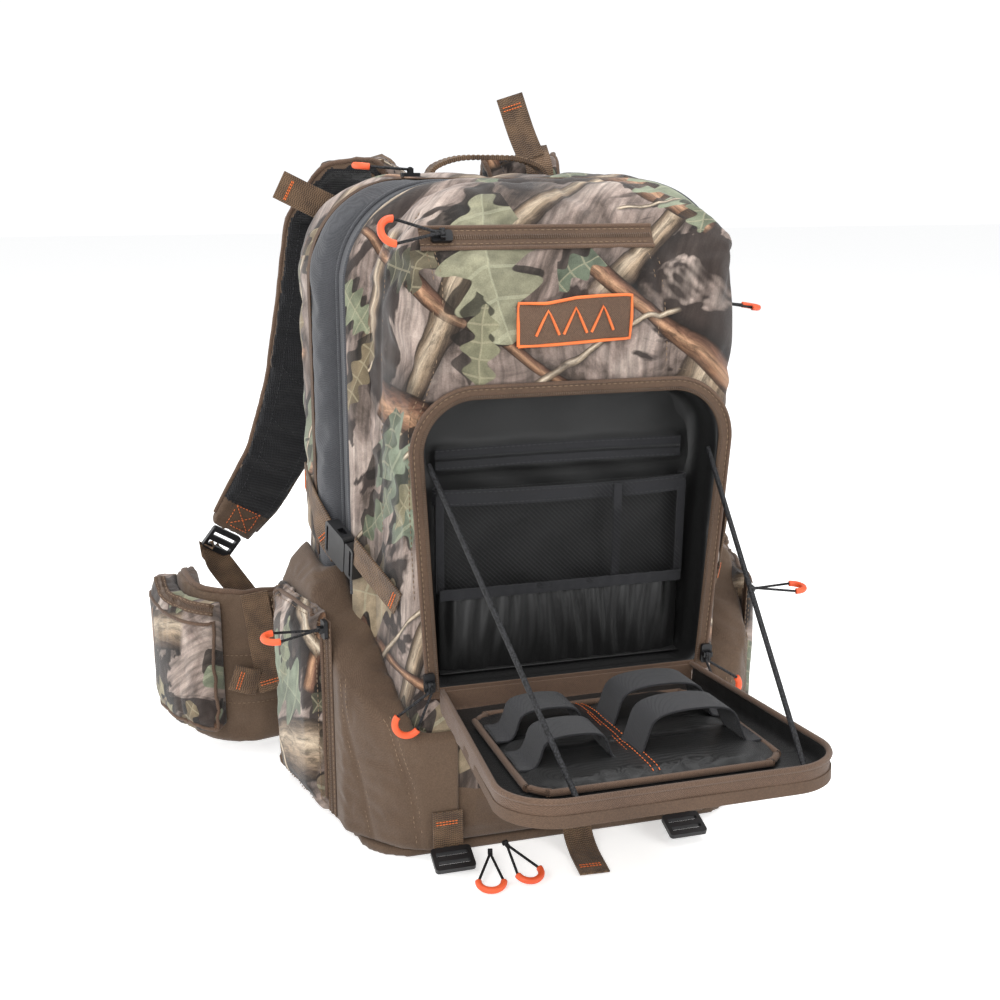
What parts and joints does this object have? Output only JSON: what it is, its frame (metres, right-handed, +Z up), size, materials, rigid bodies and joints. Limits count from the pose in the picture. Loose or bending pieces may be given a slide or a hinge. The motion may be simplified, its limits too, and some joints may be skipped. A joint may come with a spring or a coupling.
{
  "type": "hunting backpack",
  "caption": "Day-size hunting backpack with two zipped compartments, a drop-down organizer flap, side pods, padded shoulder straps and a hip belt with pockets.",
  "frame": {"origin": "middle of the flat base, on the floor", "axes": "+Z up, -Y out of the front where the organizer flap is, +Y towards the wearer, +X to the right seen from the front"},
  "size_m": [0.602, 0.662, 0.6059],
  "materials": {
    "camo_fabric": "woven polyester with a printed woodland pattern",
    "brown_fabric": "coated oxford weave",
    "charcoal_fabric": "charcoal packcloth",
    "black_lining": "black satin nylon lining",
    "black_mesh": "black knitted mesh",
    "brown_webbing": "ribbed polypropylene webbing",
    "zip_tape": "woven zip tape with nylon coil",
    "black_plastic": "moulded black acetal",
    "orange_rubber": "orange rubber tube on black cord",
    "black_cord": "braided black cord",
    "frame_plastic": "polyethylene sheet"
  },
  "bodies": {
    "pack": {"main_compartment": "camo_fabric", "gusset": "charcoal_fabric", "front_compartment": "camo_fabric", "base_panel": "brown_fabric", "back_pad": "charcoal_fabric", "frame_sheet": "frame_plastic", "shoulder_yoke": "charcoal_fabric", "body_zips": "zip_tape", "organizer_zip": "zip_tape", "organizer_lining": "black_lining", "mesh_pocket": "black_mesh", "gathered_pocket": "black_lining", "side_pocket_left": "brown_fabric", "side_pocket_right": "brown_fabric", "side_pod_left": "camo_fabric", "side_pod_right": "camo_fabric", "pod_zips": "zip_tape", "pack_buckles": "black_plastic", "body_webbing": "brown_webbing", "buckle_webbing_left": "brown_webbing", "buckle_webbing_right": "brown_webbing", "base_pulls": "orange_rubber", "lifter_webbing": "brown_webbing", "flap_cord_left": "black_cord", "flap_cord_right": "black_cord", "strap_webbing_left": "brown_webbing", "strap_webbing_right": "brown_webbing"},
    "flap": {"flap_shell": "brown_fabric", "flap_zip": "zip_tape", "flap_board": "black_lining", "flap_loops": "black_lining"},
    "top_slider": {"top_slider": "black_plastic"},
    "main_slider_left": {"main_slider_left": "black_plastic"},
    "main_slider_right": {"main_slider_right": "black_plastic"},
    "pod_slider_left": {"pod_slider_left": "black_plastic"},
    "pod_slider_right": {"pod_slider_right": "black_plastic"},
    "flap_slider_left": {"flap_slider_left": "black_plastic"},
    "flap_slider_right": {"flap_slider_right": "black_plastic"},
    "top_pull": {"top_pull": "orange_rubber"},
    "main_pull_left": {"main_pull_left": "orange_rubber"},
    "main_pull_right": {"main_pull_right": "orange_rubber"},
    "pod_pull_left": {"pod_pull_left": "orange_rubber"},
    "pod_pull_right": {"pod_pull_right": "orange_rubber"},
    "flap_pull_left": {"flap_pull_left": "orange_rubber"},
    "flap_pull_right": {"flap_pull_right": "orange_rubber"},
    "buckle_plug_left": {"buckle_plug_left": "black_plastic"},
    "buckle_plug_right": {"buckle_plug_right": "black_plastic"},
    "hip_belt_left": {"hip_wing_left": "brown_fabric", "hip_pocket_left": "camo_fabric", "hip_webbing_left": "brown_webbing", "hip_buckle_left": "black_plastic"},
    "hip_belt_right": {"hip_wing_right": "brown_fabric", "hip_pocket_right": "camo_fabric", "hip_webbing_right": "brown_webbing", "hip_buckle_right": "black_plastic"},
    "strap_left": {"shoulder_strap_left": "camo_fabric", "strap_lock_left": "black_plastic"},
    "strap_right": {"shoulder_strap_right": "camo_fabric", "strap_lock_right": "black_plastic"},
    "handle": {"haul_handle": "brown_webbing"}
  },
  "joints": [
    {"name": "flap_hinge", "type": "hinge", "parent": "pack", "child": "flap", "pos_m": [0, -0.121, 0.147], "axis": [-1, 0, 0], "range_deg": [0, 84], "deforming": ["flap_cord_left", "flap_cord_right"]},
    {"name": "top_zip_slide", "type": "slide", "parent": "pack", "child": "top_slider", "axis": [1, 0, 0], "range_m": [0, 0.148]},
    {"name": "top_pull_hinge", "type": "hinge", "parent": "top_slider", "child": "top_pull", "pos_m": [-0.102, -0.11266, 0.49944], "axis": [0, 0.5547, 0.8321], "range_deg": [0, 165]},
    {"name": "main_left_slide", "type": "slide", "parent": "pack", "child": "main_slider_left", "axis": [1, 0, 0], "range_m": [0, 0.17]},
    {"name": "main_left_pull_hinge", "type": "hinge", "parent": "main_slider_left", "child": "main_pull_left", "pos_m": [-0.092, 0.044, 0.54], "axis": [0, 1, 0], "range_deg": [0, 170]},
    {"name": "main_right_slide", "type": "slide", "parent": "pack", "child": "main_slider_right", "axis": [0, 0, -1], "range_m": [0, 0.11]},
    {"name": "main_right_pull_hinge", "type": "hinge", "parent": "main_slider_right", "child": "main_pull_right", "pos_m": [0.186, 0.044, 0.424], "axis": [0, 1, 0], "range_deg": [-70, 70]},
    {"name": "flap_zip_left_slide", "type": "slide", "parent": "pack", "child": "flap_slider_left", "axis": [-0.0476, 0, 0.9989], "range_m": [0, 0.165]},
    {"name": "flap_zip_left_pull_hinge", "type": "hinge", "parent": "flap_slider_left", "child": "flap_pull_left", "pos_m": [-0.11743, -0.128, 0.156], "axis": [-0.9989, 0, -0.0476], "range_deg": [0, 150]},
    {"name": "flap_zip_right_slide", "type": "slide", "parent": "pack", "child": "flap_slider_right", "axis": [0.0476, 0, 0.9989], "range_m": [0, 0.165]},
    {"name": "flap_zip_right_pull_hinge", "type": "hinge", "parent": "flap_slider_right", "child": "flap_pull_right", "pos_m": [0.11743, -0.128, 0.156], "axis": [-0.9989, 0, 0.0476], "range_deg": [0, 150]},
    {"name": "pod_left_slide", "type": "slide", "parent": "pack", "child": "pod_slider_left", "axis": [0, 0, -1], "range_m": [0, 0.155]},
    {"name": "pod_left_pull_hinge", "type": "hinge", "parent": "pod_slider_left", "child": "pod_pull_left", "pos_m": [-0.19297, -0.0561, 0.182], "axis": [0.1974, -0.9803, 0], "range_deg": [-75, 75]},
    {"name": "pod_right_slide", "type": "slide", "parent": "pack", "child": "pod_slider_right", "axis": [0, 0, -1], "range_m": [0, 0.155]},
    {"name": "pod_right_pull_hinge", "type": "hinge", "parent": "pod_slider_right", "child": "pod_pull_right", "pos_m": [0.19297, -0.0561, 0.182], "axis": [-0.1974, -0.9803, 0], "range_deg": [-75, 75]},
    {"name": "buckle_left_slide", "type": "slide", "parent": "pack", "child": "buckle_plug_left", "axis": [0.3015, -0.9045, -0.3015], "range_m": [0, 0.026], "deforming": ["buckle_webbing_left"]},
    {"name": "buckle_right_slide", "type": "slide", "parent": "pack", "child": "buckle_plug_right", "axis": [-0.3015, -0.9045, -0.3015], "range_m": [0, 0.026], "deforming": ["buckle_webbing_right"]},
    {"name": "hip_belt_left_hinge", "type": "hinge", "parent": "pack", "child": "hip_belt_left", "pos_m": [-0.152, 0.124, 0.09], "axis": [0, 0, 1], "range_deg": [-40, 8]},
    {"name": "hip_belt_right_hinge", "type": "hinge", "parent": "pack", "child": "hip_belt_right", "pos_m": [0.152, 0.124, 0.09], "axis": [0, 0, 1], "range_deg": [-34, 12]},
    {"name": "strap_left_hinge", "type": "hinge", "parent": "pack", "child": "strap_left", "pos_m": [-0.062, 0.132, 0.452], "axis": [-0.1674, 0.0406, -0.9851], "range_deg": [-4, 16], "deforming": ["strap_webbing_left", "lifter_webbing"]},
    {"name": "strap_right_hinge", "type": "hinge", "parent": "pack", "child": "strap_right", "pos_m": [0.044, 0.132, 0.46], "axis": [0.2049, 0.0396, -0.978], "range_deg": [-14, 10], "deforming": ["strap_webbing_right"]},
    {"name": "handle_hinge", "type": "hinge", "parent": "pack", "child": "handle", "pos_m": [-0.012, 0.099, 0.533], "axis": [1, 0, 0], "range_deg": [-7, 7]}
  ]
}
